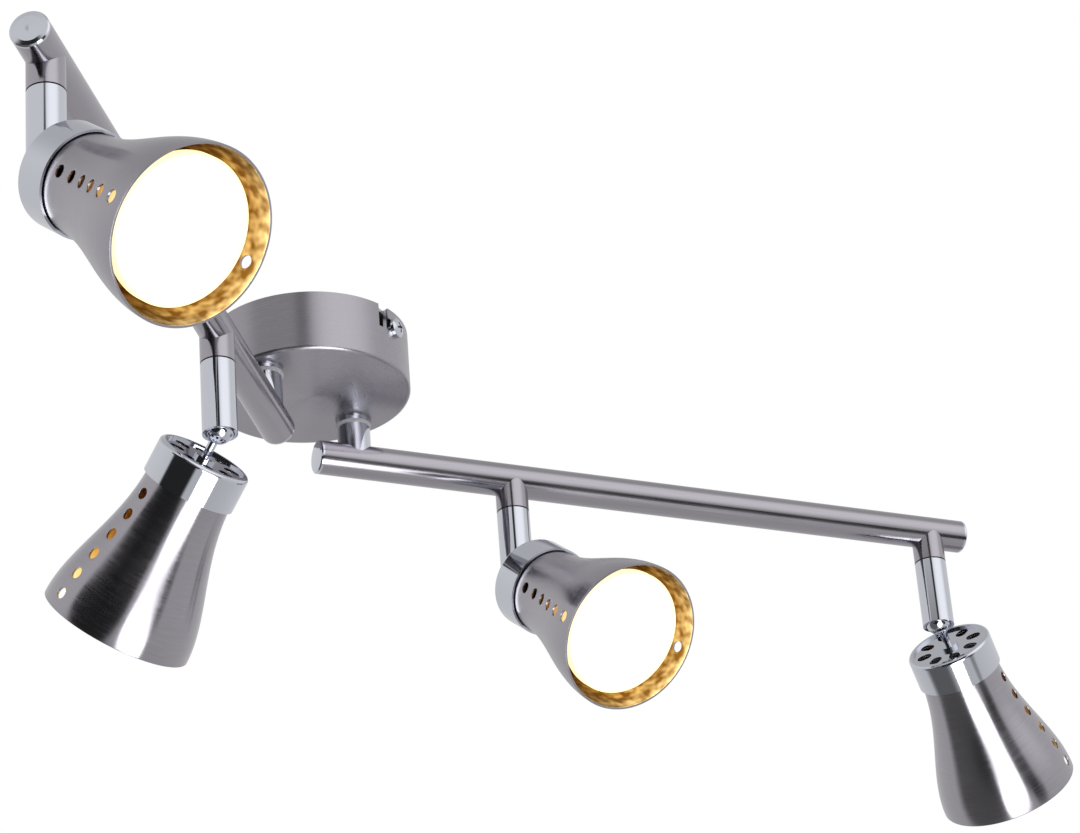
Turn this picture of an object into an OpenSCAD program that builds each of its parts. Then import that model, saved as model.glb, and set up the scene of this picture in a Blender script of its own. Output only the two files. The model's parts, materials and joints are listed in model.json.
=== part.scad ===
// Ceiling spotlight: a round canopy carries two swivelling bar arms, and each arm carries two
// aimable GU10 spots. Millimetres. The origin is the centre of the canopy on the ceiling plane,
// +Z points up into the ceiling and +X runs from the centre to the stem of arm 1.

/* [Canopy] */
// Outer diameter of the canopy
canopy_d = 82; // [70:1:130]
// Height of the canopy
canopy_h = 26; // [20:0.5:50]
// Sheet thickness of the canopy
canopy_wall = 1; // [0.6:0.1:2]
// Radius of the canopy's lower edge
canopy_edge_r = 1.5; // [0.5:0.1:4]
// Distance of each stem from the canopy's centre
stem_x = 29.5; // [24:0.5:50]
// Direction of the fixing bracket, in degrees from +X
bracket_az = -83.5; // [-180:0.5:180]
// Width of the fixing bracket
bracket_w = 18; // [14:0.5:24]
// Sheet thickness of the fixing bracket
bracket_t = 1.5; // [1:0.1:3]
// Distance between the two ceiling holes of the bracket
ceiling_hole_pitch = 52; // [46:1:60]
// Diameter of the ceiling holes
ceiling_hole_d = 5; // [4:0.1:6]
// Depth of the side screws below the ceiling
side_screw_z = 7.2; // [6:0.1:12]
// Thread diameter of the side screws
side_screw_d = 3.8; // [3:0.1:5]
// Head diameter of the side screws
side_screw_head_d = 8; // [6:0.1:10]
// Angle that the canopy turns to lock on the side screws
bayonet_turn = 11; // [8:0.5:20]
// Width of the bayonet notches
notch_w = 5.6; // [4.5:0.1:7]

/* [Stems] */
// Outer diameter of the collars, posts and swivel tubes
tube_d = 13.5; // [12:0.1:18]
// Height of the collar between canopy and washer
canopy_collar_h = 1.6; // [1:0.1:6]
// Thickness of the friction washer
washer_t = 1.2; // [0.8:0.1:3]
// Outer diameter of the friction washer
washer_d = 14.6; // [13.6:0.1:20]
// Outer diameter of the hollow threaded nipple
nipple_d = 10; // [8:0.1:11]
// Bore of the hollow threaded nipple
nipple_bore = 8; // [5:0.1:8.4]
// Length of the nipple inside the canopy
nipple_rise = 7; // [5:0.5:14]
// Width across the flats of the lock nut
lock_nut_af = 14; // [12:0.5:17]
// Thickness of the lock nut
lock_nut_t = 3.5; // [2:0.1:5]
// Radial clearance of parts that turn in each other
turn_gap = 0.07; // [0.03:0.01:0.1]

/* [Arms] */
// Depth of the bar's centre line below the ceiling
bar_z = 44; // [40:0.5:80]
// Outer diameter of the bar
bar_d = 14; // [14:0.1:20]
// Wall of the bar
bar_wall = 1; // [0.6:0.1:1.5]
// Length of the bar over its end caps
bar_length = 300; // [280:1:400]
// Length of bar behind the stem
bar_overhang = 17; // [12:0.5:30]
// Distance from the stem to the near spot
near_post = 69; // [50:1:90]
// Distance from the stem to the far spot
far_post = 266; // [240:1:270]
// Thickness of the end caps
end_cap_t = 1.5; // [1:0.1:3]
// Depth of the end caps' plugs
end_plug = 5; // [2:0.5:10]
// Direction of arm 1, in degrees from +X
arm_az_1 = -33.3; // [-180:0.1:180]
// Direction of arm 2, in degrees from +X
arm_az_2 = -158.1; // [-180:0.1:180]

/* [Spot stems] */
// Depth of the top of the swivel tubes below the ceiling
swivel_z = 59.2; // [58:0.1:90]
// Gap between each post and its swivel tube
swivel_gap = 0.6; // [0.3:0.1:1.5]
// Diameter of the post's spigot
spigot_d = 9; // [7:0.1:9.5]
// Bore through the post
spigot_bore = 6; // [3:0.1:7]
// Thickness of the neck that turns on the spigot
neck_t = 4.4; // [3:0.1:8]
// Diameter of the spigot's flared end
flare_d = 10.6; // [9.8:0.1:11]
// Thickness of the spigot's flared end
flare_t = 1.6; // [1:0.1:3]
// Length of the swivel tube
swivel_l = 29.5; // [26:0.1:60]
// Diameter of the ball
ball_d = 11.2; // [9:0.1:11.4]
// Height of the ball's centre above the tube's lower rim
ball_rise = 2; // [1.8:0.1:2.4]
// Clearance around the ball
ball_gap = 0.25; // [0.1:0.05:0.3]
// Diameter of the ball's stud
stud_d = 3.4; // [2.5:0.1:3.6]
// Bore through the ball and its stud
stud_bore = 1.8; // [1:0.1:2]

/* [Spots] */
// Distance from the ball's centre to the rim of the cap's back
cap_back = 11.8; // [10.5:0.1:30]
// Outer diameter of the cap
cap_d = 37; // [36:0.1:50]
// Length of the cap
cap_l = 14.2; // [10:0.1:24]
// Wall of the cap
cap_wall = 0.8; // [0.5:0.1:1.2]
// Radius of the cap's back edge
cap_edge_r = 1.6; // [0.5:0.1:3]
// Diameter of the recess in the cap's back
recess_d = 32; // [28:0.1:33]
// Depth of the recess in the cap's back
recess_t = 1; // [0.5:0.1:2]
// Number of vents in the cap's back
vent_count = 8; // [4:1:10]
// Radius of the ring of vents
vent_ring_r = 11.5; // [9:0.1:12]
// Width of each vent
vent_w = 4.8; // [2:0.1:5]
// Length of each vent
vent_l = 6.4; // [5:0.1:6.5]
// Outer diameter of the shade's neck
shade_neck_d = 34.4; // [30:0.1:35]
// Outer diameter of the shade's mouth
shade_mouth_d = 60; // [58:0.5:90]
// Length of the flare in front of the cap
shade_l = 59.8; // [57:0.1:100]
// Wall of the shade
shade_wall = 0.8; // [0.5:0.1:1.5]
// Number of holes in each row along the shade
shade_hole_count = 6; // [0:1:6]
// Diameter of the holes in the shade
shade_hole_d = 4.6; // [2:0.1:6]
// Distance from the cap to the first hole
shade_hole_start = 7; // [5:0.1:12]
// Distance between the holes of a row
shade_hole_pitch = 9.27; // [7:0.01:10]
// Diameter of the lampholder
holder_d = 23; // [21:0.1:26]
// Length of the lampholder
holder_l = 19.7; // [18:0.1:24]
// Distance between the lamp's pins
pin_pitch = 10; // [10:0.1:10]
// Largest diameter of the lamp
lamp_d = 50; // [50:0.5:51]
// Length of the lamp in front of its holder
lamp_l = 46.5; // [44:0.5:50]
// Diameter of the lamp's lens
lens_d = 47.6; // [40:0.2:48]
// Thickness of the lamp's lens
lens_t = 2.2; // [1.5:0.1:4]
// Direction in which spot 1 points, in degrees from +X
head_az_1 = -96.5; // [-180:0.1:180]
// Angle of spot 1 from straight down
head_tilt_1 = 49.6; // [0:0.1:50.5]
// Direction in which spot 2 points, in degrees from +X
head_az_2 = 78; // [-180:0.1:180]
// Angle of spot 2 from straight down
head_tilt_2 = 48.3; // [0:0.1:50.5]
// Direction in which spot 3 points, in degrees from +X
head_az_3 = -107.7; // [-180:0.1:180]
// Angle of spot 3 from straight down
head_tilt_3 = 50.3; // [0:0.1:50.5]
// Direction in which spot 4 points, in degrees from +X
head_az_4 = 6.5; // [-180:0.1:180]
// Angle of spot 4 from straight down
head_tilt_4 = 48.9; // [0:0.1:50.5]

/* [Hidden] */
$fn = 64;
nickel = [0.58, 0.57, 0.59];
chrome = [0.74, 0.76, 0.81];
white = [0.93, 0.93, 0.92];
phenolic = [0.09, 0.08, 0.075];
brass = [0.8, 0.66, 0.36];
glow = [1, 0.96, 0.85];
canopy_r = canopy_d / 2;
inner_r = canopy_r - canopy_wall;
tube_r = tube_d / 2;
nipple_r = nipple_d / 2;
bar_r = bar_d / 2;
collar_end_z = -canopy_h - canopy_collar_h;
washer_end_z = collar_end_z - washer_t;
floor_z = -canopy_h + canopy_wall;
// the bracket's ears stand a little inside the canopy's wall
ear_gap = 0.5;
ear_w = 9;
ear_h = side_screw_z + 4.8;
// terminal block under the bracket
block_l = 30;
block_w = 16;
block_base = 4;
block_tower = 9;
pole_pitch = 10;
pole_w = 8;
entry_r = 1.7;
entry_z = -bracket_t - block_base - 4;
clamp_screw_r = 1.7;
clamp_screw_l = 3.4;
// the ball's socket
socket_r = ball_d / 2 + ball_gap;
ball_z = -swivel_z - swivel_l + ball_rise;
seat_bore = 6.8;
seat_t = 2;
seat_z = ball_z + sqrt(pow(socket_r, 2) - pow(seat_bore / 2, 2)) + 0.03;
// positions along a spot's axis, from the ball's centre
plate_t = cap_wall;
plate_z = cap_back + recess_t;
flange_z = plate_z + plate_t;
holder_z = flange_z + shade_wall;
nut_t = 2.5;
nut_af = 6;
stud_end = holder_z + nut_t + 0.3;
neck_z = cap_back + cap_l;
mouth_z = neck_z + shade_l;
lamp_z = holder_z + holder_l;
face_z = lamp_z + lamp_l;
pin_l = 7.5;
holder_screw_y = 8.2;
holder_screw_r = 1.5;
holder_screw_head_r = 2.6;
// routes of the two leads from the terminal block into the hollow stem of arm 1
lead_r = 0.9;
lead_a = [[6.1, -9.4, -9.5], [13, -8.6, -9.5], [18, -6.8, -9.8], [23, -4.2, -10.6],
    [27, -2, -12.2], [29, -1.4, -14.6], [29.5, -1.3, -18], [29.5, -1.3, -24], [29.5, -1.3, -32]];
lead_b = [[3.8, 10.5, -9.5], [10.8, 11.3, -9.5], [16, 9.4, -9.8], [21.5, 5.8, -10.6],
    [26.5, 2.4, -12.2], [28.8, 1.4, -14.6], [29.5, 1.3, -18], [29.5, 1.3, -24], [29.5, 1.3, -32]];
arm_az = [arm_az_1, arm_az_2];
arm_x = [stem_x, -stem_x];
// spots 1 and 2 hang on arm 2, spots 3 and 4 on arm 1
head_arm = [1, 1, 0, 0];
head_reach = [far_post, near_post, near_post, far_post];
head_az = [head_az_1, head_az_2, head_az_3, head_az_4];
head_tilt = [head_tilt_1, head_tilt_2, head_tilt_3, head_tilt_4];

// ---- placing ----

// Puts its children at the stem of arm k, turned along the arm.
module at_arm(k) {
    translate([arm_x[k - 1], 0, 0]) rotate([0, 0, arm_az[k - 1]]) children();
}

// Puts its children on the post of spot i, with +Z up.
module at_post(i) {
    at_arm(head_arm[i - 1] + 1) translate([head_reach[i - 1], 0, 0]) children();
}

// Puts its children at the ball of spot i, with +Z along the spot towards its mouth.
module at_head(i) {
    at_post(i)
        translate([0, 0, ball_z])
            rotate([0, 0, head_az[i - 1] - arm_az[head_arm[i - 1]]])
                rotate([0, 180 - head_tilt[i - 1], 0]) children();
}

// Puts its children on both sides of the bracket's line.
module at_bracket_ends() {
    for (a = [0, 180]) rotate([0, 0, bracket_az + a]) children();
}

// A ring between radii r1 and r2 from z0 to z1.
module ring(r1, r2, z0, z1) {
    translate([0, 0, z0])
        difference() {
            cylinder(r = r2, h = z1 - z0);
            translate([0, 0, -1]) cylinder(r = r1, h = z1 - z0 + 2);
        }
}

// ---- canopy ----

module canopy() {
    color(nickel)
    difference() {
        rotate_extrude()
            difference() {
                union() {
                    translate([0, -canopy_h + canopy_edge_r])
                        square([canopy_r, canopy_h - canopy_edge_r]);
                    translate([0, -canopy_h]) square([canopy_r - canopy_edge_r, canopy_h]);
                    intersection() {
                        translate([canopy_r - canopy_edge_r, -canopy_h + canopy_edge_r])
                            circle(r = canopy_edge_r);
                        translate([0, -canopy_h]) square([canopy_r + 1, canopy_h]);
                    }
                }
                translate([-1, floor_z]) square([inner_r + 1, canopy_h]);
            }
        for (s = [-1, 1])
            translate([s * stem_x, 0, -canopy_h - 1])
                cylinder(r = nipple_r + turn_gap, h = canopy_wall + 2);
        at_bracket_ends() {
            translate([canopy_r - 4, -canopy_r * sin(bayonet_turn) - notch_w / 2,
                       -side_screw_z - notch_w / 2])
                cube([6, canopy_r * sin(bayonet_turn) + notch_w, notch_w]);
            rotate([0, 0, -bayonet_turn])
                translate([canopy_r - 4, -notch_w / 2, -side_screw_z - notch_w / 2])
                    cube([6, notch_w, side_screw_z + notch_w]);
        }
    }
}

module ceiling_bracket() {
    ear_r = sqrt(pow(inner_r - ear_gap / 2, 2) - pow(ear_w / 2, 2));
    color(chrome)
    difference() {
        union() {
            rotate([0, 0, bracket_az])
                translate([-ear_r + bracket_t, -bracket_w / 2, -bracket_t])
                    cube([2 * (ear_r - bracket_t), bracket_w, bracket_t]);
            at_bracket_ends()
                translate([ear_r - 2 * bracket_t, -ear_w / 2, -ear_h])
                    difference() {
                        cube([2 * bracket_t, ear_w, ear_h]);
                        translate([-1, -1, -1]) cube([bracket_t + 1, ear_w + 2, ear_h - bracket_t + 1]);
                    }
        }
        at_bracket_ends() {
            translate([ceiling_hole_pitch / 2, 0, -bracket_t - 1])
                cylinder(d = ceiling_hole_d, h = bracket_t + 2);
            translate([ear_r - 2 * bracket_t - 1, 0, -side_screw_z])
                rotate([0, 90, 0]) cylinder(d = side_screw_d, h = 3 * bracket_t);
        }
    }
}

module canopy_screws() {
    head_r = side_screw_head_d / 2;
    head_h = 2.6;
    dome_r = (pow(head_r, 2) + pow(head_h / 2, 2)) / head_h;
    color(chrome)
    at_bracket_ends()
        translate([canopy_r, 0, -side_screw_z])
            rotate([0, 90, 0])
                difference() {
                    union() {
                        translate([0, 0, -6.5]) cylinder(d = side_screw_d, h = 7);
                        intersection() {
                            cylinder(r = head_r, h = head_h);
                            translate([0, 0, head_h - dome_r]) sphere(r = dome_r);
                        }
                    }
                    for (a = [0, 90])
                        rotate([0, 0, a + 20])
                            translate([-2.2, -0.45, head_h - 1.3]) cube([4.4, 0.9, 2]);
                }
}

module canopy_collars() {
    color(chrome)
    for (s = [-1, 1])
        translate([s * stem_x, 0, 0])
            ring(nipple_r + turn_gap, tube_r, collar_end_z, -canopy_h);
}

module terminal_block() {
    color(white)
    rotate([0, 0, bracket_az])
        difference() {
            union() {
                translate([-block_l / 2, -block_w / 2, -bracket_t - block_base])
                    cube([block_l, block_w, block_base]);
                for (p = [-1:1])
                    translate([p * pole_pitch - pole_w / 2, -block_w / 2,
                               -bracket_t - block_base - block_tower])
                        cube([pole_w, block_w, block_tower + 1]);
            }
            for (p = [-1:1]) {
                translate([p * pole_pitch, block_w / 2 + 1, entry_z])
                    rotate([90, 0, 0]) cylinder(r = entry_r, h = block_w + 2);
                for (s = [-1, 1])
                    translate([p * pole_pitch, s * 4.5, -bracket_t - block_base - block_tower - 1])
                        cylinder(r = clamp_screw_r, h = block_tower - 2.5);
            }
        }
}

module terminal_screws() {
    low = -bracket_t - block_base - block_tower + 0.3;
    color(brass)
    rotate([0, 0, bracket_az])
        for (p = [-1:1], s = [-1, 1])
            translate([p * pole_pitch, s * 4.5, low])
                difference() {
                    cylinder(r = clamp_screw_r, h = clamp_screw_l - 0.6);
                    translate([-2, -0.3, -0.4]) cube([4, 0.6, 1.2]);
                }
}

// ---- leads ----

function unit(v) = v / norm(v);
function heading(p, i) = i == 0 ? unit(p[1] - p[0])
    : i == len(p) - 1 ? unit(p[i] - p[i - 1])
    : unit(unit(p[i + 1] - p[i]) + unit(p[i] - p[i - 1]));
// one ring of eight points around point i of route p
function lead_ring(p, i, r) = let (t = heading(p, i), u = unit(cross(t, [0, 1, 0])), v = cross(t, u))
    [for (k = [0:7]) p[i] + r * (cos(45 * k) * u + sin(45 * k) * v)];

// A round lead of radius r that follows the route p.
module lead(p, r) {
    n = len(p);
    points = [for (i = [0:n - 1]) each lead_ring(p, i, r)];
    sides = [for (i = [0:n - 2], k = [0:7])
        [8 * i + k, 8 * i + (k + 1) % 8, 8 * (i + 1) + (k + 1) % 8, 8 * (i + 1) + k]];
    ends = [[for (k = [0:7]) 7 - k], [for (k = [0:7]) 8 * (n - 1) + k]];
    polyhedron(points, concat(sides, ends));
}

module canopy_wires() {
    color(white)
    for (a = [0, 180])
        rotate([0, 0, a]) {
            lead(lead_a, lead_r);
            lead(lead_b, lead_r);
        }
}

// ---- arms, along +X from the stem ----

module bar_solid(r, x0, x1) {
    translate([x0, 0, -bar_z]) rotate([0, 90, 0]) cylinder(r = r, h = x1 - x0);
}

module arm_tube() {
    x0 = -bar_overhang + end_cap_t;
    x1 = bar_length - bar_overhang - end_cap_t;
    difference() {
        bar_solid(bar_r, x0, x1);
        bar_solid(bar_r - bar_wall, x0 - 1, x1 + 1);
        translate([0, 0, -bar_z]) cylinder(r = nipple_r, h = bar_r + 1);
        for (x = [near_post, far_post])
            translate([x, 0, -bar_z - bar_r - 1]) cylinder(d = spigot_bore, h = bar_r + 1);
    }
}

// One end cap at x = 0 with its face towards -X.
module end_cap() {
    edge = 0.5;
    translate([0, 0, -bar_z])
        rotate([0, 90, 0])
            rotate_extrude()
                polygon([[0, -0.2], [bar_r * 0.7, 0], [bar_r - edge, 0.2], [bar_r, edge + 0.2],
                    [bar_r, end_cap_t], [bar_r - bar_wall, end_cap_t],
                    [bar_r - bar_wall, end_cap_t + end_plug], [0, end_cap_t + end_plug]]);
}

module arm_end_caps() {
    translate([-bar_overhang, 0, 0]) end_cap();
    translate([bar_length - bar_overhang, 0, 0])
        mirror([1, 0, 0]) end_cap();
}

module arm_collar() {
    difference() {
        ring(nipple_r, tube_r, -bar_z, washer_end_z);
        bar_solid(bar_r, -tube_r - 1, tube_r + 1);
    }
}

module friction_washer() {
    ring(nipple_r, washer_d / 2, washer_end_z, collar_end_z);
}

module arm_nipple() {
    ring(nipple_bore / 2, nipple_r, -bar_z + sqrt(pow(bar_r - bar_wall, 2) - pow(nipple_r, 2)) - 0.8,
         floor_z + nipple_rise);
}

module arm_lock_nut() {
    translate([0, 0, floor_z])
        difference() {
            cylinder(d = lock_nut_af / cos(30), h = lock_nut_t, $fn = 6);
            translate([0, 0, -1]) cylinder(r = nipple_r, h = lock_nut_t + 2);
        }
}

// ---- posts, with the post's axis on Z ----

module post() {
    shoulder_z = -swivel_z + swivel_gap;
    end_z = -swivel_z - neck_t - flare_t;
    difference() {
        union() {
            translate([0, 0, shoulder_z]) cylinder(r = tube_r, h = -bar_z - shoulder_z);
            translate([0, 0, end_z]) cylinder(d = spigot_d, h = shoulder_z - end_z);
            translate([0, 0, end_z]) cylinder(d = flare_d, h = flare_t);
        }
        bar_solid(bar_r, -tube_r - 1, tube_r + 1);
        translate([0, 0, end_z - 1]) cylinder(d = spigot_bore, h = -bar_z - end_z + 1);
    }
}

module swivel_tube() {
    rim_z = -swivel_z - swivel_l;
    neck_z = -swivel_z - neck_t;
    difference() {
        translate([0, 0, rim_z]) cylinder(r = tube_r, h = swivel_l);
        translate([0, 0, neck_z - 1]) cylinder(r = spigot_d / 2 + turn_gap, h = neck_t + 2);
        translate([0, 0, seat_z + seat_t]) cylinder(r = socket_r, h = neck_z - seat_z - seat_t);
        translate([0, 0, ball_z]) cylinder(d = seat_bore, h = neck_z - ball_z);
        translate([0, 0, ball_z]) cylinder(r = socket_r, h = seat_z - ball_z);
        translate([0, 0, ball_z]) sphere(r = socket_r);
    }
}

// ---- spots, with the spot's axis on Z and the ball's centre at the origin ----

module ball_stud() {
    hub_r = 4.2;
    hub_t = 1.4;
    difference() {
        union() {
            sphere(d = ball_d);
            cylinder(d = stud_d, h = stud_end);
            translate([0, 0, plate_z - hub_t]) cylinder(r = hub_r, h = hub_t);
        }
        translate([0, 0, -ball_d]) cylinder(d = stud_bore, h = ball_d + stud_end + 1);
    }
}

module stud_nut() {
    translate([0, 0, holder_z])
        difference() {
            cylinder(d = nut_af / cos(30), h = nut_t, $fn = 6);
            translate([0, 0, -1]) cylinder(d = stud_d, h = nut_t + 2);
        }
}

// The ring of vents, cut through both the cap's back and the shade's flange.
module vents() {
    for (i = [0:vent_count - 1])
        rotate([0, 0, (i + 0.5) * 360 / vent_count]) {
            travel = (vent_l - vent_w) / 2;
            for (s = [-1, 1])
                translate([vent_ring_r + s * travel, 0, cap_back - 1])
                    cylinder(d = vent_w, h = holder_z - cap_back + 2);
            translate([vent_ring_r - travel, -vent_w / 2, cap_back - 1])
                cube([2 * travel, vent_w, holder_z - cap_back + 2]);
        }
}

module cap() {
    r = cap_d / 2;
    difference() {
        rotate_extrude()
            difference() {
                union() {
                    translate([0, cap_back + cap_edge_r]) square([r, cap_l - cap_edge_r]);
                    translate([0, cap_back]) square([r - cap_edge_r, cap_l]);
                    intersection() {
                        translate([r - cap_edge_r, cap_back + cap_edge_r]) circle(r = cap_edge_r);
                        translate([0, cap_back]) square([r + 1, cap_l]);
                    }
                }
                translate([-1, cap_back - 1]) square([recess_d / 2 + 1, recess_t + 1]);
                translate([-1, flange_z]) square([r - cap_wall + 1, cap_l]);
            }
        cylinder(d = stud_d, h = flange_z + 1);
        vents();
    }
}

// Outer radius of the shade at the share u of its flare.
function flare_r(u) = let (n = shade_neck_d / 2, m = shade_mouth_d / 2, w = pow(u, 1.12))
    n + (m - n) * (w * w * (3 - 2 * w) + 0.25 * u * pow(1 - u, 2));

module shade() {
    steps = 24;
    outer = [for (i = [0:steps]) [flare_r(i / steps), neck_z + shade_l * i / steps]];
    inner = [for (i = [steps:-1:0])
        [flare_r(i / steps) - shade_wall, neck_z + shade_l * i / steps]];
    difference() {
        rotate_extrude()
            polygon(concat([[shade_neck_d / 2, flange_z]], outer, inner,
                [[shade_neck_d / 2 - shade_wall, holder_z], [0, holder_z], [0, flange_z]]));
        cylinder(d = stud_d, h = holder_z + 1);
        vents();
        for (y = [-1, 1])
            translate([0, y * holder_screw_y, flange_z - 1])
                cylinder(r = holder_screw_r, h = shade_wall + 2);
        if (shade_hole_count > 0)
            for (i = [0:shade_hole_count - 1])
                translate([0, 0, neck_z + shade_hole_start + i * shade_hole_pitch])
                    rotate([90, 0, 0])
                        cylinder(d = shade_hole_d, h = 2 * shade_mouth_d, center = true);
    }
}

module lampholder() {
    difference() {
        translate([0, 0, holder_z]) cylinder(d = holder_d, h = holder_l);
        translate([0, 0, holder_z - 1]) cylinder(r = 4.2, h = nut_t + 1.8);
        for (s = [-1, 1]) {
            translate([s * pin_pitch / 2, 0, lamp_z - pin_l - 0.5])
                cylinder(r = 2.8, h = pin_l + 1);
            translate([0, s * holder_screw_y, holder_z - 1])
                cylinder(r = holder_screw_r, h = holder_l + 2);
            translate([0, s * holder_screw_y, lamp_z - 2.5])
                cylinder(r = holder_screw_head_r + 0.2, h = 3);
        }
    }
}

module holder_screws() {
    for (s = [-1, 1])
        translate([0, s * holder_screw_y, 0])
            difference() {
                union() {
                    translate([0, 0, flange_z]) cylinder(r = holder_screw_r, h = lamp_z - 2.5 - flange_z);
                    translate([0, 0, lamp_z - 2.5]) cylinder(r = holder_screw_head_r, h = 1.8);
                }
                translate([-3, -0.35, lamp_z - 1.5]) cube([6, 0.7, 2]);
            }
}

module lamp() {
    r = lamp_d / 2;
    difference() {
        rotate_extrude()
            polygon([[0, lamp_z], [10.6, lamp_z], [11.2, lamp_z + 0.6], [11.2, lamp_z + 7],
                [13.4, lamp_z + 9], [15.6, lamp_z + 14], [18.2, lamp_z + 21],
                [20.6, lamp_z + 28], [22.6, lamp_z + 35], [r - 0.6, face_z - 4.6],
                [r, face_z - 4], [r, face_z - 0.5], [r - 0.5, face_z], [0, face_z]]);
        translate([0, 0, face_z - lens_t]) cylinder(d = lens_d, h = lens_t + 1);
    }
    for (s = [-1, 1])
        translate([s * pin_pitch / 2, 0, 0]) {
            translate([0, 0, lamp_z - pin_l + 2]) cylinder(r = 1.5, h = pin_l - 1);
            translate([0, 0, lamp_z - pin_l]) cylinder(r = 2.4, h = 2.4);
        }
}

module lamp_lens() {
    translate([0, 0, face_z - lens_t]) cylinder(d = lens_d - 0.1, h = lens_t - 0.3);
}

// ---- pieces of the arms and spots ----

module arm_tube_1() {
    color(nickel) at_arm(1) arm_tube();
}

module arm_end_caps_1() {
    color(chrome) at_arm(1) arm_end_caps();
}

module arm_collar_1() {
    color(chrome) at_arm(1) arm_collar();
}

module friction_washer_1() {
    color(white) at_arm(1) friction_washer();
}

module arm_nipple_1() {
    color(brass) at_arm(1) arm_nipple();
}

module arm_lock_nut_1() {
    color(brass) at_arm(1) arm_lock_nut();
}

module arm_tube_2() {
    color(nickel) at_arm(2) arm_tube();
}

module arm_end_caps_2() {
    color(chrome) at_arm(2) arm_end_caps();
}

module arm_collar_2() {
    color(chrome) at_arm(2) arm_collar();
}

module friction_washer_2() {
    color(white) at_arm(2) friction_washer();
}

module arm_nipple_2() {
    color(brass) at_arm(2) arm_nipple();
}

module arm_lock_nut_2() {
    color(brass) at_arm(2) arm_lock_nut();
}

module post_1() {
    color(nickel) at_post(1) post();
}

module post_2() {
    color(nickel) at_post(2) post();
}

module post_3() {
    color(nickel) at_post(3) post();
}

module post_4() {
    color(nickel) at_post(4) post();
}

module swivel_tube_1() {
    color(chrome) at_post(1) swivel_tube();
}

module ball_stud_1() {
    color(chrome) at_head(1) ball_stud();
}

module stud_nut_1() {
    color(chrome) at_head(1) stud_nut();
}

module cap_1() {
    color(chrome) at_head(1) cap();
}

module shade_1() {
    color(nickel) at_head(1) shade();
}

module lampholder_1() {
    color(phenolic) at_head(1) lampholder();
}

module holder_screws_1() {
    color(chrome) at_head(1) holder_screws();
}

module lamp_1() {
    color(white) at_head(1) lamp();
}

module lamp_lens_1() {
    color(glow) at_head(1) lamp_lens();
}

module swivel_tube_2() {
    color(chrome) at_post(2) swivel_tube();
}

module ball_stud_2() {
    color(chrome) at_head(2) ball_stud();
}

module stud_nut_2() {
    color(chrome) at_head(2) stud_nut();
}

module cap_2() {
    color(chrome) at_head(2) cap();
}

module shade_2() {
    color(nickel) at_head(2) shade();
}

module lampholder_2() {
    color(phenolic) at_head(2) lampholder();
}

module holder_screws_2() {
    color(chrome) at_head(2) holder_screws();
}

module lamp_2() {
    color(white) at_head(2) lamp();
}

module lamp_lens_2() {
    color(glow) at_head(2) lamp_lens();
}

module swivel_tube_3() {
    color(chrome) at_post(3) swivel_tube();
}

module ball_stud_3() {
    color(chrome) at_head(3) ball_stud();
}

module stud_nut_3() {
    color(chrome) at_head(3) stud_nut();
}

module cap_3() {
    color(chrome) at_head(3) cap();
}

module shade_3() {
    color(nickel) at_head(3) shade();
}

module lampholder_3() {
    color(phenolic) at_head(3) lampholder();
}

module holder_screws_3() {
    color(chrome) at_head(3) holder_screws();
}

module lamp_3() {
    color(white) at_head(3) lamp();
}

module lamp_lens_3() {
    color(glow) at_head(3) lamp_lens();
}

module swivel_tube_4() {
    color(chrome) at_post(4) swivel_tube();
}

module ball_stud_4() {
    color(chrome) at_head(4) ball_stud();
}

module stud_nut_4() {
    color(chrome) at_head(4) stud_nut();
}

module cap_4() {
    color(chrome) at_head(4) cap();
}

module shade_4() {
    color(nickel) at_head(4) shade();
}

module lampholder_4() {
    color(phenolic) at_head(4) lampholder();
}

module holder_screws_4() {
    color(chrome) at_head(4) holder_screws();
}

module lamp_4() {
    color(white) at_head(4) lamp();
}

module lamp_lens_4() {
    color(glow) at_head(4) lamp_lens();
}

// ---- the parts ----

canopy();
ceiling_bracket();
canopy_screws();
canopy_collars();
terminal_block();
terminal_screws();
canopy_wires();
arm_tube_1();
arm_end_caps_1();
arm_collar_1();
friction_washer_1();
arm_nipple_1();
arm_lock_nut_1();
arm_tube_2();
arm_end_caps_2();
arm_collar_2();
friction_washer_2();
arm_nipple_2();
arm_lock_nut_2();
post_1();
post_2();
post_3();
post_4();
swivel_tube_1();
ball_stud_1();
stud_nut_1();
cap_1();
shade_1();
lampholder_1();
holder_screws_1();
lamp_1();
lamp_lens_1();
swivel_tube_2();
ball_stud_2();
stud_nut_2();
cap_2();
shade_2();
lampholder_2();
holder_screws_2();
lamp_2();
lamp_lens_2();
swivel_tube_3();
ball_stud_3();
stud_nut_3();
cap_3();
shade_3();
lampholder_3();
holder_screws_3();
lamp_3();
lamp_lens_3();
swivel_tube_4();
ball_stud_4();
stud_nut_4();
cap_4();
shade_4();
lampholder_4();
holder_screws_4();
lamp_4();
lamp_lens_4();
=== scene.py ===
"""Ceiling spotlight: a nickel canopy, two swivelling bar arms and four flared GU10 spots.

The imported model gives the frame, in metres. The sections follow the light as it is put together,
from the canopy on the ceiling to the lamps in their shades, and end with the studio.
"""
import json
import math

import bmesh
import bpy
from mathutils import Matrix, Quaternion, Vector


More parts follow.
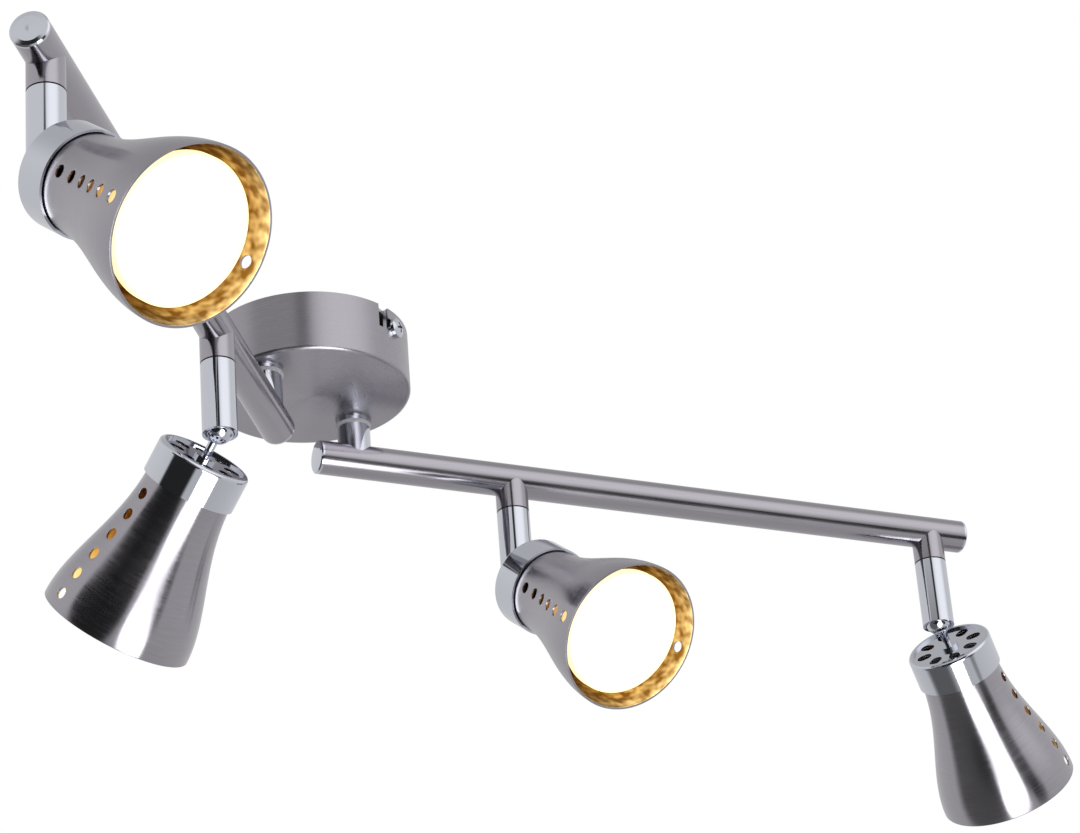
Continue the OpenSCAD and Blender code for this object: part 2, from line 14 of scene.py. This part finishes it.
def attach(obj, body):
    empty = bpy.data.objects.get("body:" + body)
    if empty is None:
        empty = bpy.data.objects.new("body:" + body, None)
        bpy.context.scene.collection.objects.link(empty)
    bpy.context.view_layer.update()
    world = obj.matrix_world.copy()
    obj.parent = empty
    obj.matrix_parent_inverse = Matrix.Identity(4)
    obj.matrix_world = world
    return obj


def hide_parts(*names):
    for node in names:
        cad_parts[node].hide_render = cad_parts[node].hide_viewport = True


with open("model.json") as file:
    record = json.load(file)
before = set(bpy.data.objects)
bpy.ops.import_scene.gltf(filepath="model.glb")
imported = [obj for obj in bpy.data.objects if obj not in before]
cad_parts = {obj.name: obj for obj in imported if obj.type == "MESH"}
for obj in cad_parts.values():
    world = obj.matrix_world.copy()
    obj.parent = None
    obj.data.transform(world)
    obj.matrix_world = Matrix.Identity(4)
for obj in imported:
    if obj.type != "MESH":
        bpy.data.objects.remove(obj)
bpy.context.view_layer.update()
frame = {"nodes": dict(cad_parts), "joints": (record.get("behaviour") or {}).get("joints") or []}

# ---- Canopy ----
# A cup drawn from 1 mm steel, nickel plated and brushed on a lathe, so that its grain runs in
# rings round the side and the flat face. It hangs on two side screws through bayonet notches.

MM = 0.001
nodes = frame["nodes"]


def linear(hex_colour):
    """Linear colour of an sRGB hex value."""
    parts = [int(hex_colour[i:i + 2], 16) / 255 for i in (1, 3, 5)]
    return (*[c / 12.92 if c <= 0.04045 else ((c + 0.055) / 1.055) ** 2.4 for c in parts], 1)


def add(tree, kind, sockets=None, **settings):
    """Adds a node; sockets maps an input to its value, or to the output that it's linked from."""
    made = tree.nodes.new("ShaderNode" + kind)
    for key, value in settings.items():
        setattr(made, key, value)
    for key, value in (sockets or {}).items():
        if isinstance(value, bpy.types.NodeSocket):
            tree.links.new(value, made.inputs[key])
        else:
            made.inputs[key].default_value = value
    return made


def new_material(name, shader):
    """A material whose surface is the node that shader(tree) returns."""
    material = bpy.data.materials.new(name)
    material.use_nodes = True
    material.node_tree.nodes.clear()
    add(material.node_tree, "OutputMaterial", {"Surface": shader(material.node_tree).outputs[0]})
    return material


def finish_nodes(material, *names):
    """Gives carried-over CAD nodes their real material."""
    for name in names:
        for place in nodes[name].material_slots:
            place.material = material


# Satin nickel: a soft grey mirror, streaked across the lines that the grinding belt leaves.
# Real lines are 0.02 mm wide; they are drawn 0.35 mm wide, so that they show. A line drifts
# sideways by its own width in about 30 widths of its length.
LINE_MM = 0.35
GROOVE_MM = 0.02
DRIFT = 0.03
# The Mix node has an input A and an input B for each kind of data, so they are told apart by
# their places.
VALUE_A, VALUE_B, COLOUR_A, COLOUR_B = 2, 3, 6, 7


def brushed(tree, line, rough, tangent=None, draw=0.0, groove=0.15, painted_shade=None):
    """Nickel with a grinding line wherever the vector line is constant. With a tangent along the
    lines, draw says how far reflections are drawn out across them. Where painted_shade is 1 the
    plate is painted dark and matt: a painted shade."""
    grain = add(tree, "TexNoise", {"Vector": line, "Scale": 1 / (LINE_MM * MM), "Detail": 3,
                                   "Roughness": 0.65}).outputs["Fac"]
    shade = add(tree, "MapRange", {"Value": grain, "From Min": 0.3, "From Max": 0.7,
                                   "To Min": rough - 0.05, "To Max": rough + 0.06}).outputs[0]
    tint = add(tree, "Mix", {"Factor": grain, COLOUR_A: linear("#a8a5ac"),
                             COLOUR_B: linear("#bebbc2")}, data_type="RGBA").outputs[2]
    # Painted shade: where the mask is 1 the plate is painted darker and matter.
    if painted_shade:
        shade = add(tree, "Mix", {"Factor": painted_shade, VALUE_A: shade, VALUE_B: 0.5},
                    data_type="FLOAT").outputs[0]
        tint = add(tree, "Mix", {"Factor": painted_shade, COLOUR_A: tint, COLOUR_B: linear("#55524e")},
                   data_type="RGBA").outputs[2]
    bump = add(tree, "Bump", {"Height": grain, "Strength": groove,
                              "Distance": GROOVE_MM * MM}).outputs[0]
    sockets = {"Base Color": tint, "Metallic": 1, "Roughness": shade, "Normal": bump}
    if tangent:
        sockets.update({"Anisotropic": draw, "Anisotropic Rotation": 0.25, "Tangent": tangent})
    return add(tree, "BsdfPrincipled", sockets)


# The cup's inside wall and floor, in millimetres. Inside them the plate is painted dark and matt,
# a painted shade for the cup's hollow.
CUP_R, CUP_FLOOR = 40.4, -25.4


def lathe_brushed(tree):
    """Rings about the canopy's own axis, which is the object's Z, and a painted shade inside."""
    place = add(tree, "TexCoord").outputs["Object"]
    flat = add(tree, "VectorMath", {0: place, 1: (1, 1, 0)}, operation="MULTIPLY").outputs[0]
    radius = add(tree, "VectorMath", {0: flat}, operation="LENGTH").outputs["Value"]
    height = add(tree, "SeparateXYZ", {0: place}).outputs["Z"]
    across = add(tree, "Math", {0: radius, 1: height}, operation="ADD").outputs[0]
    slow = add(tree, "VectorMath", {0: flat, 1: (DRIFT, DRIFT, 0)}, operation="MULTIPLY")
    ring = add(tree, "CombineXYZ", {"Z": across}).outputs[0]
    line = add(tree, "VectorMath", {0: ring, 1: slow.outputs[0]}, operation="ADD").outputs[0]
    tangent = add(tree, "Tangent", direction_type="RADIAL", axis="Z").outputs[0]
    # The mask of the cup's inside, which is painted dark as a painted shade for its hollow.
    within = add(tree, "Math", {0: radius, 1: CUP_R * MM}, operation="LESS_THAN").outputs[0]
    over = add(tree, "Math", {0: height, 1: CUP_FLOOR * MM}, operation="GREATER_THAN").outputs[0]
    inside = add(tree, "Math", {0: within, 1: over}, operation="MULTIPLY").outputs[0]
    return brushed(tree, line, rough=0.3, tangent=tangent, draw=0.7, groove=0.06, painted_shade=inside)


finish_nodes(new_material("nickel_plate_lathe_brushed", lathe_brushed), "canopy")

# ---- Ceiling bracket and side screws ----
# A zinc-plated strip with two tapped ears, screwed to the ceiling. Two chromed M4 pan head
# screws in its ears carry the canopy.


def plated(colour, rough, wipe_mm):
    """A plated metal with faint wipe marks."""
    def shader(tree):
        place = add(tree, "TexCoord").outputs["Object"]
        wipe = add(tree, "TexNoise", {"Vector": place, "Scale": 1 / (wipe_mm * MM),
                                      "Detail": 4}).outputs["Fac"]
        soft = add(tree, "MapRange", {"Value": wipe, "To Min": rough * 0.6,
                                      "To Max": rough * 1.4}).outputs[0]
        return add(tree, "BsdfPrincipled", {"Base Color": linear(colour), "Metallic": 1,
                                            "Roughness": soft})
    return shader


# Chrome mirrors the room with a cold cast. Bright zinc is greyer and mistier.
chrome = new_material("polished_chrome_plate", plated("#dcdfe8", 0.07, 7))
zinc = new_material("bright_zinc_plate", plated("#c8cbd0", 0.3, 3))
finish_nodes(zinc, "ceiling_bracket")
finish_nodes(chrome, "canopy_screws")

# ---- Connector and leads ----
# A three-pole connector moulded in polyamide, with brass clamp screws. PVC-covered leads run
# from it into the two hollow stems, one brown and one blue to each.

PIT_MM = 0.05


def moulded(colour, rough, speck_mm):
    """A moulded or pressed material with a fine even grain in its surface."""
    def shader(tree):
        place = add(tree, "TexCoord").outputs["Object"]
        grain = add(tree, "TexNoise", {"Vector": place, "Scale": 1 / (speck_mm * MM),
                                       "Detail": 2}).outputs["Fac"]
        tint = add(tree, "Mix", {"Factor": grain, COLOUR_A: linear(colour),
                                 COLOUR_B: linear("#ffffff")},
                   data_type="RGBA", blend_type="MULTIPLY").outputs[2]
        bump = add(tree, "Bump", {"Height": grain, "Strength": 0.2,
                                  "Distance": PIT_MM * MM}).outputs[0]
        return add(tree, "BsdfPrincipled", {"Base Color": tint, "Roughness": rough,
                                            "Normal": bump})
    return shader


def lead_covering(tree):
    """Brown on the leads at one side of each stem's line and blue on the other."""
    place = add(tree, "SeparateXYZ", {0: add(tree, "TexCoord").outputs["Object"]}).outputs
    side = add(tree, "Math", {0: place["X"], 1: place["Y"]}, operation="MULTIPLY").outputs[0]
    blue = add(tree, "Math", {0: side, 1: 0}, operation="GREATER_THAN").outputs[0]
    tint = add(tree, "Mix", {"Factor": blue, COLOUR_A: linear("#5e3a24"),
                             COLOUR_B: linear("#2f5f9e")}, data_type="RGBA").outputs[2]
    return add(tree, "BsdfPrincipled", {"Base Color": tint, "Roughness": 0.38})


# Natural polyamide is a warm white with a soft gloss. Bare brass is a yellow, slightly hazy
# mirror. PVC is smooth and satin, with one broad soft highlight along each lead.
finish_nodes(new_material("polyamide_connector", moulded("#ece8de", 0.35, 0.5)), "terminal_block")
finish_nodes(new_material("bare_brass", plated("#d8bb74", 0.22, 2)), "terminal_screws")
finish_nodes(new_material("pvc_lead_covering", lead_covering), "canopy_wires")

# ---- Stems ----
# Each arm turns on a hollow M10 nipple locked by a nut inside the canopy. A chromed collar, a
# white nylon friction washer and a second collar are stacked on it.

ARMS = (1, 2)

# Nylon is a cold white, between satin and matt.
nylon = new_material("white_nylon", moulded("#dfdfe0", 0.42, 0.6))
finish_nodes(chrome, "canopy_collars")
for k in ARMS:
    finish_nodes(chrome, f"arm_collar_{k}")
    finish_nodes(nylon, f"friction_washer_{k}")
    finish_nodes(zinc, f"arm_nipple_{k}", f"arm_lock_nut_{k}")

# ---- Arm bars ----
# 14 mm steel tube, nickel plated over a belt finish that leaves long fine lines, closed by
# pressed-in caps turned from brass rod and polished.

joints = {joint["name"]: joint for joint in frame["joints"]}
FAR_SPOT = {1: 4, 2: 1}
# The finest of the nickel finishes: narrow bright streaks along the bar, and the least mist. Its
# lines are straighter than the canopy's and a little wider.
BAR_ROUGH = 0.17
BAR_LINE = (0.01, 0.8, 0.8)


def belt_brushed(angle):
    """Lines along a bar that points angle degrees from +X."""
    def shader(tree):
        place = add(tree, "TexCoord").outputs["Object"]
        along = add(tree, "Mapping", {"Vector": place, "Rotation": (0, 0, math.radians(-angle))})
        line = add(tree, "VectorMath", {0: along.outputs[0], 1: BAR_LINE}, operation="MULTIPLY")
        return brushed(tree, line.outputs[0], BAR_ROUGH)
    return shader


def bar_angle(k):
    """Direction of arm k, from its stem to the far spot on it, in degrees."""
    stem = Vector(joints[f"arm_{k}_swivel"]["pos_m"])
    far = Vector(joints[f"head_{FAR_SPOT[k]}_swivel"]["pos_m"])
    return math.degrees(math.atan2(far.y - stem.y, far.x - stem.x))


for k in ARMS:
    bar = new_material(f"nickel_plate_belt_brushed_{k}", belt_brushed(bar_angle(k)))
    finish_nodes(bar, f"arm_tube_{k}")
    finish_nodes(chrome, f"arm_end_caps_{k}")

# ---- Posts and swivel tubes ----
# A nickel-plated post stands under the bar at each spot. A chromed tube turns on its spigot and
# holds the ball in a socket at its lower rim.

SPOTS = (1, 2, 3, 4)

# Polished nickel mirrors the room as chrome does, but greyer, warmer and less sharply.
post_nickel = new_material("nickel_plate_polished", plated("#b4b1b8", 0.16, 5))
for i in SPOTS:
    finish_nodes(post_nickel, f"post_{i}")
    finish_nodes(chrome, f"swivel_tube_{i}")

# ---- Ball studs and caps ----
# A turned and polished ball stud goes through the back of each spot and clamps its chromed cap,
# a pressed cup with eight oval vents.

for i in SPOTS:
    finish_nodes(chrome, f"ball_stud_{i}", f"cap_{i}")
    finish_nodes(zinc, f"stud_nut_{i}")

# ---- Shades ----
# Each shade is spun from 0.8 mm steel to a flared bell, punched with two rows of six holes and
# eight vents in its back, then nickel plated and brushed on the lathe.

# Millimetres. T is the distance along the spot's axis from the middle of its ball. Edges that
# turn by more than CREASE radians are rounded to EDGE.
WALL, EDGE, CREASE = 0.8, 0.12, 0.9
NECK_R, MOUTH_R = 17.2, 30.0
BACK_T, NECK_T, MOUTH_T = 13.6, 26.0, 85.8
HOLE_R, HOLE_START, HOLE_PITCH, HOLE_ROWS = 2.3, 33.0, 9.27, 6
VENTS, VENT_RING, VENT_HALF, VENT_TRAVEL = 8, 11.5, 2.4, 0.8
# The sheet's faces: columns round it, and bands along it for each pitch of the holes. A hole is
# opened 3 bands each way from its centre, and a vent 6 columns and 3 rings of 1 mm.
COLUMNS, BANDS, HOLE_SPAN, VENT_SPAN = 192, 12, 3, (6, 3)


def flare(t):
    """Outer radius of the shade at distance t from the ball's centre, in millimetres."""
    u = min(max((t - NECK_T) / (MOUTH_T - NECK_T), 0), 1)
    w = u ** 1.12
    return NECK_R + (MOUTH_R - NECK_R) * (w * w * (3 - 2 * w) + 0.25 * u * (1 - u) ** 2)


def spun(profile, steps):
    """A sheet spun about Z from points of (radius, height)."""
    bm = bmesh.new()
    line = [bm.verts.new((r, 0, t)) for r, t in profile]
    edges = [bm.edges.new(pair) for pair in zip(line, line[1:])]
    bmesh.ops.spin(bm, geom=line + edges, cent=(0, 0, 0), axis=(0, 0, 1), angle=2 * math.pi,
                   steps=steps, use_merge=True)
    bmesh.ops.remove_doubles(bm, verts=bm.verts, dist=1e-4)
    bmesh.ops.recalc_face_normals(bm, faces=bm.faces)
    return bm


def punch(bm, grid, reach, move):
    """Opens a hole: grid(vert) counts steps across and along from its centre, and reach is how
    many the hole spans each way. Vertices on that border go to move(vert, cos, sin)."""
    inside, slack = [], 0.01
    for vert in bm.verts:
        a, b = (step / span for step, span in zip(grid(vert), reach))
        size = max(abs(a), abs(b))
        if size < 1 - slack:
            inside.append(vert)
        elif size < 1 + slack:
            if abs(a) >= abs(b):
                side, turn = a, math.pi / 4 * b / a
            else:
                side, turn = b, math.pi / 2 - math.pi / 4 * a / b
            move(vert, side * math.cos(turn), side * math.sin(turn))
    bmesh.ops.delete(bm, geom=inside, context="VERTS")


def shade_shell():
    """The shade at the origin along Z, in millimetres."""
    band = HOLE_PITCH / BANDS
    column = 2 * math.pi / COLUMNS
    away = (99, 99)
    rings = [1.7, 4.2, 6.0, 7.4] + [VENT_RING + n for n in range(-3, 4)] + [15.7]
    heights = [BACK_T, 17.5, 21.5, 24.8]
    heights += [HOLE_START + band * n for n in range(-9, 67)]
    heights += [MOUTH_T - WALL / 2, MOUTH_T]
    bm = spun([(r, BACK_T) for r in rings] + [(flare(t), t) for t in heights], COLUMNS)
    for side in (1, -1):
        for n in range(HOLE_ROWS):
            middle = HOLE_START + n * HOLE_PITCH
            span = max(2, round(HOLE_R / (flare(middle) * column)))

            def grid(vert):
                if vert.co.y * side <= 0 or vert.co.z < BACK_T + 1:
                    return away
                turn = math.atan2(vert.co.x, vert.co.y * side)
                return turn / column, (vert.co.z - middle) / band

            def move(vert, across, along):
                x, t = HOLE_R * across, middle + HOLE_R * along
                vert.co = (x, side * math.sqrt(flare(t) ** 2 - x ** 2), t)

            punch(bm, grid, (span, HOLE_SPAN), move)
    for n in range(VENTS):
        turned = Matrix.Rotation(2 * math.pi / VENTS * (n + 0.5), 3, "Z")

        def grid(vert):
            if vert.co.z > BACK_T + 0.1:
                return away
            flat = turned.inverted() @ vert.co
            return math.atan2(flat.y, flat.x) / column, flat.xy.length - VENT_RING

        def move(vert, across, along):
            shift = math.copysign(VENT_TRAVEL, along) if abs(along) > 1e-6 else 0
            radius = VENT_RING + VENT_HALF * along + shift
            vert.co = turned @ Vector((radius, VENT_HALF * across, BACK_T))

        punch(bm, grid, VENT_SPAN, move)
    bmesh.ops.solidify(bm, geom=bm.faces, thickness=WALL)
    sharp = [e for e in bm.edges if len(e.link_faces) == 2 and e.calc_face_angle() > CREASE]
    bmesh.ops.bevel(bm, geom=sharp, offset=EDGE, offset_type="OFFSET", segments=2, profile=0.5,
                    affect="EDGES", material=-1, clamp_overlap=True)
    return bm


def lay_grain(bm):
    """Maps the sheet round (U) and along (V) its axis, and keeps each point's place on it."""
    around = bm.loops.layers.uv.new("round")
    for face in bm.faces:
        turns = [math.atan2(loop.vert.co.y, loop.vert.co.x) / (2 * math.pi) for loop in face.loops]
        if max(turns) - min(turns) > 0.5:
            turns = [t + 1 if t < 0 else t for t in turns]
        for loop, turn in zip(face.loops, turns):
            loop[around].uv = (turn, (loop.vert.co.z + loop.vert.co.xy.length) / 100)
    spot = bm.verts.layers.float_vector.new("spot_place")
    for vert in bm.verts:
        vert[spot] = vert.co * MM


def spot_place(i):
    """Turns millimetres from the ball of spot i, with +Z towards its mouth, into the frame. A spot
    tilts as far each way from straight down, so the middle of its range is how far it leans."""
    tilt = joints[f"head_{i}_tilt"]
    lean = math.pi - math.radians(sum(tilt["range_deg"]) / 2)
    facing = math.atan2(-tilt["axis"][0], tilt["axis"][1])
    return (Matrix.Translation(tilt["pos_m"]) @ Matrix.Rotation(facing, 4, "Z")
            @ Matrix.Rotation(lean, 4, "Y") @ Matrix.Scale(MM, 4))


def put(name, bm, place, materials, body, stands_for):
    """Makes a piece of a copy of bm at its place, riding a body in a CAD node's stead."""
    data = bpy.data.meshes.new(name)
    bm.to_mesh(data)
    data.transform(place)
    data.shade_smooth()
    for material in materials:
        data.materials.append(material)
    piece = bpy.data.objects.new(name, data)
    bpy.context.scene.collection.objects.link(piece)
    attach(piece, body)
    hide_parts(stands_for)


def spun_brushed(tree):
    """Rings about the spot's axis, which sharpen reflections round it and draw them out along."""
    place = add(tree, "Attribute", attribute_name="spot_place").outputs["Vector"]
    line = add(tree, "VectorMath", {0: place, 1: (DRIFT, DRIFT, 1)}, operation="MULTIPLY")
    tangent = add(tree, "Tangent", direction_type="UV_MAP", uv_map="round").outputs[0]
    return brushed(tree, line.outputs[0], rough=0.2, tangent=tangent, draw=0.85)


# Painted lamplight: the plate inside is coloured straw to bronze for the lamp's warm light and its
# reflections, in patches about 4 mm across that grow paler over the last 6 mm before the mouth.
LAMPLIGHT_PATCH_MM = 4
LIP_FROM, LIP_TO = 80.0, 86.0


def painted_lamplight(tree):
    """The inside, painted straw to bronze as the lamp's warm light and reflections, and unevenly
    so.
    """
    place = add(tree, "Attribute", attribute_name="spot_place").outputs["Vector"]
    lamplight_patch = add(tree, "TexNoise", {"Vector": place, "Scale": 1 / (LAMPLIGHT_PATCH_MM * MM),
                                   "Detail": 1}).outputs["Fac"]
    spread = add(tree, "MapRange", {"Value": lamplight_patch, "From Min": 0.3, "From Max": 0.75}).outputs[0]
    height = add(tree, "SeparateXYZ", {0: place}).outputs["Z"]
    lip = add(tree, "MapRange", {"Value": height, "From Min": LIP_FROM * MM,
                                 "From Max": LIP_TO * MM, "To Min": -0.2,
                                 "To Max": 0.25}).outputs[0]
    pale = add(tree, "Math", {0: spread, 1: lip}, operation="ADD", use_clamp=True).outputs[0]
    # This warm hue is painted lamplight and painted reflection, not the plate's own colour.
    hue = add(tree, "Mix", {"Factor": pale, COLOUR_A: linear("#84632a"),
                            COLOUR_B: linear("#ffeec4")}, data_type="RGBA").outputs[2]
    return add(tree, "BsdfPrincipled", {"Base Color": hue, "Metallic": 1, "Roughness": 0.3})


shade_nickel = new_material("nickel_plate_spun_brushed", spun_brushed)
shade_inside_lamplight = new_material("nickel_plate_painted_lamplight", painted_lamplight)
shell = shade_shell()
# Faces of the bell that look at its axis are its inside.
for face in shell.faces:
    middle = face.calc_center_median()
    if middle.z > BACK_T + 2 and face.normal.xy.dot(middle.xy) < -0.3 * middle.xy.length:
        face.material_index = 1
lay_grain(shell)
for i in SPOTS:
    put(f"spun_shade_{i}", shell, spot_place(i), (shade_nickel, shade_inside_lamplight), f"head_{i}",
        f"shade_{i}")
shell.free()

# ---- Lampholders ----
# A GU10 holder moulded from black phenolic resin, held by two zinc-plated screws. The resin is a
# warm black, satin and faintly grained; its black also serves as painted shade for the hollow seen
# through the vents and holes.

phenolic = new_material("black_phenolic_painted_shade", moulded("#23201e", 0.42, 0.4))
for i in SPOTS:
    finish_nodes(phenolic, f"lampholder_{i}")
    finish_nodes(zinc, f"holder_screws_{i}")

# ---- Lamps ----
# A GU10 halogen: a pressed glass bowl with a dichroic mirror that leaks amber light backwards,
# and a frosted front glass. Both glow, the bowl more towards its front.

# Millimetres, along the spot's axis as on the shade. The front glass is white out to GLOW_R and
# fades to its rim, RIM_R.
LAMP_T, FACE_T = 34.1, 80.6
PIN_X = 5
GLOW_R, RIM_R = 18.5, 23.8
SEGMENTS = 96


def lit_bowl(tree):
    """Dark at the base, then amber, gold and nearly white at the rim."""
    place = add(tree, "Attribute", attribute_name="spot_place").outputs["Vector"]
    height = add(tree, "SeparateXYZ", {0: place}).outputs["Z"]
    share = add(tree, "MapRange", {"Value": height, "From Min": LAMP_T * MM,
                                   "From Max": FACE_T * MM}).outputs[0]
    hue = add(tree, "ValToRGB", {"Fac": share})
    ramp = hue.color_ramp.elements
    ramp[0].position, ramp[0].color = 0.15, linear("#000000")
    ramp[1].position, ramp[1].color = 0.97, linear("#ffe9b8")
    for position, colour in ((0.3, "#7a3e14"), (0.5, "#c88a3a"), (0.72, "#eec468")):
        stop = ramp.new(position)
        stop.color = linear(colour)
    power = add(tree, "MapRange", {"Value": share, "From Min": 0.1, "To Min": 0.3,
                                   "To Max": 1.3}).outputs[0]
    return add(tree, "BsdfPrincipled", {"Base Color": linear("#d9d3c6"), "Roughness": 0.2,
                                        "Emission Color": hue.outputs[0],
                                        "Emission Strength": power})


def lit_front(tree):
    """White in the middle, and warmer and dimmer towards its rim."""
    place = add(tree, "Attribute", attribute_name="spot_place").outputs["Vector"]
    flat = add(tree, "VectorMath", {0: place, 1: (1, 1, 0)}, operation="MULTIPLY").outputs[0]
    radius = add(tree, "VectorMath", {0: flat}, operation="LENGTH").outputs["Value"]
    edge = add(tree, "MapRange", {"Value": radius, "From Min": GLOW_R * MM,
                                  "From Max": RIM_R * MM}).outputs[0]
    hue = add(tree, "Mix", {"Factor": edge, COLOUR_A: linear("#fff3d6"),
                            COLOUR_B: linear("#ffe2a6")}, data_type="RGBA").outputs[2]
    power = add(tree, "MapRange", {"Value": edge, "To Min": 4.0, "To Max": 0.8}).outputs[0]
    return add(tree, "BsdfPrincipled", {"Base Color": linear("#f4f0e6"), "Roughness": 0.5,
                                        "Emission Color": hue, "Emission Strength": power})


# Both glasses outshine what they reflect: the bowl through the shade's holes in amber, the front
# as an even white disc.
bowl_glass = new_material("pressed_glass_bowl_lit", lit_bowl)
front_glass = new_material("frosted_front_glass_lit", lit_front)
bowl = spun([(0, LAMP_T), (10.6, LAMP_T), (11.2, LAMP_T + 0.6), (11.2, 41.1), (13.4, 43.1),
             (15.6, 48.1), (18.2, 55.1), (20.6, 62.1), (22.6, 69.1), (24.4, 76.0), (25, 76.6),
             (25, 80.1), (24.5, FACE_T), (23.9, FACE_T), (23.8, 78.5), (0, 78.4)], SEGMENTS)
# Two contact pins, each with a wider foot.
for x in (-PIN_X, PIN_X):
    for radius, height, foot in ((1.5, 6.5, 28.6), (2.4, 2.4, 26.6)):
        bmesh.ops.create_cone(bowl, cap_ends=True, segments=24, radius1=radius, radius2=radius,
                              depth=height, matrix=Matrix.Translation((x, 0, foot + height / 2)))
lay_grain(bowl)
front = spun([(0, 80.9), (6, 80.82), (12, 80.6), (18, 80.3), (22.4, 79.9), (23.4, 79.6),
              (23.7, 79.2), (23.7, 78.45), (0, 78.45)], SEGMENTS)
lay_grain(front)
for i in SPOTS:
    put(f"lamp_bowl_{i}", bowl, spot_place(i), (bowl_glass,), f"head_{i}",
        f"lamp_{i}")
    put(f"lamp_front_{i}", front, spot_place(i), (front_glass,), f"head_{i}",
        f"lamp_lens_{i}")
bowl.free()
front.free()

# ---- Studio ----
# A pale floor well below the light, a pale room with a few dark walls, and one oval softbox. The
# plated metal shows nothing but these, so they are placed for what each piece mirrors.

world = bpy.data.worlds.new("studio")
bpy.context.scene.world = world
world.use_nodes = True
world.node_tree.nodes.clear()


def toward(tree, ray, direction, inner, outer):
    """1 within inner degrees of a direction, 0 beyond outer degrees."""
    axis = Vector(direction).normalized()
    along = add(tree, "VectorMath", {0: ray, 1: axis}, operation="DOT_PRODUCT").outputs["Value"]
    return add(tree, "MapRange", {"Value": along, "From Min": math.cos(math.radians(outer)),
                                  "From Max": math.cos(math.radians(inner))},
               interpolation_type="SMOOTHSTEP").outputs[0]


def room(tree):
    """Light from each direction: grey walls with darker and brighter patches, white to the eye."""
    ray = add(tree, "TexCoord").outputs["Generated"]
    height = add(tree, "SeparateXYZ", {0: ray}).outputs["Z"]
    light = add(tree, "MapRange", {"Value": height, "From Min": -1, "From Max": 1, "To Min": 0.5,
                                   "To Max": 0.75}).outputs[0]

    def patch(light, direction, inner, outer, level):
        there = toward(tree, ray, direction, inner, outer)
        return add(tree, "Mix", {"Factor": there, VALUE_A: light, VALUE_B: level},
                   data_type="FLOAT").outputs[0]

    # The ceiling is a little dimmer than the walls.
    light = patch(light, (0, 0, 1), 20, 60, 0.5)
    plain = light
    # Dark walls, which the shades mirror as black bands.
    light = patch(light, (-0.55, 0.5, -0.67), 28, 44, 0.12)
    light = patch(light, (-0.93, -0.12, -0.05), 37, 43, 0.02)
    light = patch(light, (-0.3, -0.88, -0.36), 8, 15, 0.06)
    light = patch(light, (0.0, -0.89, -0.455), 7, 14, 0.03)
    above = add(tree, "MapRange", {"Value": height, "From Min": 0.38, "From Max": 0.43}).outputs[0]
    light = add(tree, "Mix", {"Factor": above, VALUE_A: light, VALUE_B: plain},
                data_type="FLOAT").outputs[0]
    # Over them it is plain again, but for what the upright tubes and the canopy's side mirror: a
    # broad bright patch and a narrow dark one.
    light = patch(light, (-0.19, -0.87, 0.465), 5, 40, 1.1)
    light = patch(light, (-0.75, -0.47, 0.465), 4, 9, 0.03)
    seen = add(tree, "LightPath").outputs["Is Camera Ray"]
    light = add(tree, "Mix", {"Factor": seen, VALUE_A: light, VALUE_B: 1.0},
                data_type="FLOAT").outputs[0]
    back = add(tree, "Background", {"Color": (1, 1, 1, 1), "Strength": light})
    add(tree, "OutputWorld", {"Surface": back.outputs[0]})


room(world.node_tree)

# The softbox lights only what mirrors it, so that it throws no patch of light on the floor.
softbox = bpy.data.objects.new("softbox", bpy.data.lights.new("softbox", "AREA"))
bpy.context.scene.collection.objects.link(softbox)
softbox.data.shape = "ELLIPSE"
softbox.data.size, softbox.data.size_y = 0.911, 1.315
softbox.data.energy = 9.5
softbox.location = (-0.303, -0.72, -1.084)
softbox.rotation_mode = "QUATERNION"
softbox.rotation_quaternion = Vector((0.678, 0.464, 0.69)).to_track_quat("-Z", "Y")
softbox.visible_camera = False
softbox.visible_diffuse = False

# The floor is as far down as it is, so that views from below the light stay above it.
FLOOR_Z, FLOOR_HALF = -3.6, 12
sheet = bmesh.new()
bmesh.ops.create_grid(sheet, x_segments=1, y_segments=1, size=FLOOR_HALF,
                      matrix=Matrix.Translation((0, 0, FLOOR_Z)))
floor_data = bpy.data.meshes.new("studio_floor")
sheet.to_mesh(floor_data)
sheet.free()
floor = bpy.data.objects.new("studio_floor", floor_data)
bpy.context.scene.collection.objects.link(floor)
# Background paper: matt, nearly white, with no gloss of its own.
floor_data.materials.append(new_material("pale_paper", moulded("#f7f7f7", 0.9, 2)))
floor.visible_glossy = False

camera = bpy.data.objects.new("camera", bpy.data.cameras.new("camera"))
bpy.context.scene.collection.objects.link(camera)
bpy.context.scene.camera = camera
sight = Vector((0.752232, 0.467236, 0.464584))
roll = Quaternion((0, 0, 1), math.radians(-4.585))
camera.rotation_mode = "QUATERNION"
camera.rotation_quaternion = sight.to_track_quat("-Z", "Y") @ roll
camera.location = (-1.03122, -0.74944, -0.71023)
camera.data.sensor_width = 36
camera.data.lens = 118.54
camera.data.clip_end = 30
bpy.context.scene.view_settings.view_transform = "Standard"
